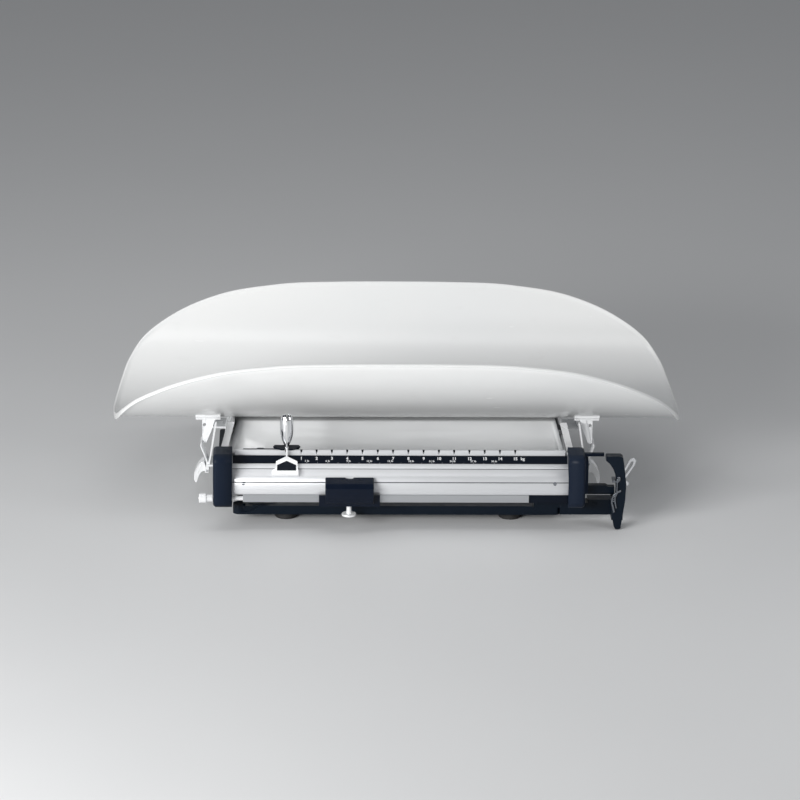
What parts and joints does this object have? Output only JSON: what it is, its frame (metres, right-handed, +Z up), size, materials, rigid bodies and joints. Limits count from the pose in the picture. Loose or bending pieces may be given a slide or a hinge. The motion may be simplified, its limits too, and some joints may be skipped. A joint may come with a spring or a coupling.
{
  "type": "mechanical baby scale",
  "caption": "Baby weighing scale with a trough tray on a lever mechanism, a notched beam with sliding main and fine poises, end guide and arrest lever.",
  "frame": {"origin": "middle of the object's box, on the surface it stands on", "axes": "+X along the beam towards its guided end, +Y from the beam to the back, +Z up"},
  "size_m": [0.5572, 0.3046, 0.164],
  "materials": {
    "tray_white": "gloss white moulded shell",
    "base_black": "smooth black enamel",
    "cover_silver": "satin silver grey enamel",
    "beam_aluminium": "fine brushed, clear anodised",
    "cap_slate": "satin dark slate",
    "scale_black": "satin black with white figures",
    "chrome": "polished",
    "steel": "ground",
    "knife_steel": "hardened, fine ground",
    "poise_black": "gloss black",
    "rubber": "matt",
    "zinc": "black painted weight"
  },
  "bodies": {
    "base": {"base_frame": "base_black", "rubber_feet": "rubber", "foot_screws": "steel", "cover": "cover_silver", "cover_clips": "steel", "cover_clip_screws": "steel", "fulcrum_stand": "steel", "fulcrum_bearing": "knife_steel", "end_guide": "base_black", "guide_screws": "steel", "index_stop_plate": "chrome", "arrest_pivot_screw": "chrome", "lever_stands": "steel", "lever_bearings": "knife_steel"},
    "beam": {"beam_profile": "beam_aluminium", "pivot_plate": "steel", "pivot_plate_screws": "steel", "fulcrum_knife": "knife_steel", "load_knife": "knife_steel", "notch_bar": "beam_aluminium", "scale_strip": "scale_black", "beam_cap_left": "cap_slate", "beam_cap_right": "cap_slate", "tongue": "base_black", "beam_screws": "steel", "beam_rail": "beam_aluminium", "rail_block_right": "scale_black"},
    "zero_adjuster": {"zero_screw": "chrome"},
    "main_poise": {"main_poise_carriage": "scale_black", "main_poise_weight": "zinc", "main_poise_pointer": "chrome", "main_poise_inlay": "scale_black", "main_poise_grip": "chrome", "main_poise_knife": "chrome"},
    "fine_poise": {"fine_poise_slider": "poise_black", "fine_poise_body": "poise_black"},
    "clamp_screw": {"fine_poise_thumb_screw": "chrome"},
    "arrest": {"arrest_lever": "chrome"},
    "long_lever": {"main_lever": "steel", "main_lever_fulcrum_knives": "knife_steel", "main_lever_load_knives": "knife_steel"},
    "cross_lever": {"short_lever": "steel", "short_lever_fulcrum_knives": "knife_steel", "short_lever_load_knives": "knife_steel"},
    "shackle": {"lever_shackle": "steel"},
    "stirrup": {"load_link": "steel"},
    "carrier": {"carrier_frame": "steel", "carrier_saddles": "knife_steel", "side_bracket_left": "chrome", "side_bracket_right": "chrome", "clamp_lugs_left": "chrome", "clamp_lugs_right": "chrome", "clamp_pin_left": "chrome", "clamp_pin_right": "chrome"},
    "clamp_left": {"clamp_lever_left": "chrome"},
    "clamp_right": {"clamp_lever_right": "chrome"},
    "tray": {"tray_shell": "tray_white", "tray_hangers": "chrome"}
  },
  "joints": [
    {"name": "beam_tilt", "type": "hinge", "parent": "base", "child": "beam", "pos_m": [-0.133, -0.1005, 0.058], "axis": [0, -1, 0], "range_deg": [0, 1.3]},
    {"name": "main_poise_slide", "type": "slide", "parent": "beam", "child": "main_poise", "axis": [1, 0, 0], "range_m": [0, 0.2193]},
    {"name": "fine_poise_slide", "type": "slide", "parent": "beam", "child": "fine_poise", "axis": [1, 0, 0], "range_m": [-0.07, 0.141]},
    {"name": "clamp_screw_turn", "type": "hinge", "parent": "fine_poise", "child": "clamp_screw", "pos_m": [-0.0478, -0.1372, 0.0149], "axis": [0, 0, 1], "range_deg": [0, 360]},
    {"name": "zero_screw_turn", "type": "hinge", "parent": "beam", "child": "zero_adjuster", "pos_m": [-0.1875, -0.1367, 0.0308], "axis": [1, 0, 0], "range_deg": [-360, 360]},
    {"name": "arrest_turn", "type": "hinge", "parent": "base", "child": "arrest", "pos_m": [0.2113, -0.1255, 0.044], "axis": [0, -1, 0], "range_deg": [0, 45]},
    {"name": "clamp_left_turn", "type": "hinge", "parent": "carrier", "child": "clamp_left", "pos_m": [-0.1852, -0.0515, 0.032], "axis": [0, -1, 0], "range_deg": [0, 35]},
    {"name": "clamp_right_turn", "type": "hinge", "parent": "carrier", "child": "clamp_right", "pos_m": [0.1852, -0.0515, 0.032], "axis": [0, 1, 0], "range_deg": [0, 35]},
    {"name": "long_lever_turn", "type": "hinge", "parent": "base", "child": "long_lever", "pos_m": [0.125, 0.0375, 0.0266], "axis": [0, -1, 0], "range_deg": [0, 0.093535]},
    {"name": "cross_lever_turn", "type": "hinge", "parent": "base", "child": "cross_lever", "pos_m": [-0.125, 0.0375, 0.0381], "axis": [0, 1, 0], "range_deg": [0, 0.093535]},
    {"name": "shackle_drop", "type": "slide", "parent": "base", "child": "shackle", "axis": [0, 0, -1], "range_m": [0, 0.0002041]},
    {"name": "stirrup_drop", "type": "slide", "parent": "base", "child": "stirrup", "axis": [0, 0, -1], "range_m": [0, 0.0004539]},
    {"name": "carrier_drop", "type": "slide", "parent": "base", "child": "carrier", "axis": [0, 0, -1], "range_m": [0, 0.0000654]},
    {"name": "tray_lift", "type": "slide", "parent": "carrier", "child": "tray", "axis": [0, 0, 1], "range_m": [0, 0.06]}
  ],
  "couplings": [
    {"joint": "long_lever_turn", "follows": "beam_tilt", "ratio": 0.071942},
    {"joint": "cross_lever_turn", "follows": "beam_tilt", "ratio": 0.071942},
    {"joint": "shackle_drop", "follows": "beam_tilt", "m_per_rad": 0.0089928},
    {"joint": "stirrup_drop", "follows": "beam_tilt", "m_per_rad": 0.02},
    {"joint": "carrier_drop", "follows": "beam_tilt", "m_per_rad": 0.0028777}
  ]
}
